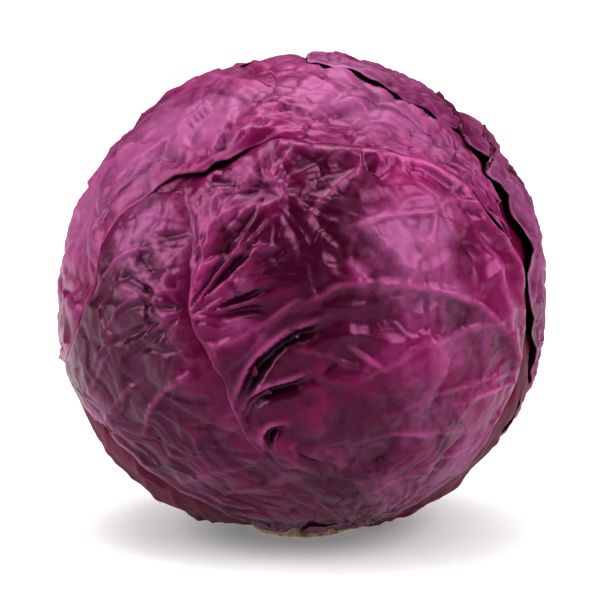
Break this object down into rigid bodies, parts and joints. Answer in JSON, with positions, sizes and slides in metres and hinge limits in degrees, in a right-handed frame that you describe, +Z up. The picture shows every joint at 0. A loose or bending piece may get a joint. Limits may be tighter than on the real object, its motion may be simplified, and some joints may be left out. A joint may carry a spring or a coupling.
{
  "type": "red cabbage head",
  "caption": "Whole red cabbage head standing on its flat cut stem: loose wrapper leaves overlap round a tightly packed inner head, one with a lifted, ruffled margin.",
  "frame": {"origin": "centre of the flat cut face of the stem, on the surface that the head stands on", "axes": "+Z up along the stem, -Y towards the puckered front leaf, +X towards the ruffled leaf"},
  "size_m": [0.1512, 0.1486, 0.1492],
  "materials": {
    "wrapper_leaf": "living leaf: crimson-purple skin under a thin greyish wax bloom, satin",
    "under_leaf": "smooth dark crimson leaf with little bloom, satin",
    "ruffled_leaf": "paler, drier purple leaf with more bloom and a crinkled margin, satin",
    "stem": "cut fibrous stem, tan and dry, matt"
  },
  "bodies": {
    "root": {"stem": "stem", "inner_head": "under_leaf", "left_under_leaf": "under_leaf", "right_under_leaf": "under_leaf", "left_leaf": "wrapper_leaf", "front_leaf": "wrapper_leaf", "top_leaf": "wrapper_leaf", "back_leaf": "wrapper_leaf", "ruffled_leaf": "ruffled_leaf", "leaf_stub": "ruffled_leaf"}
  },
  "joints": []
}
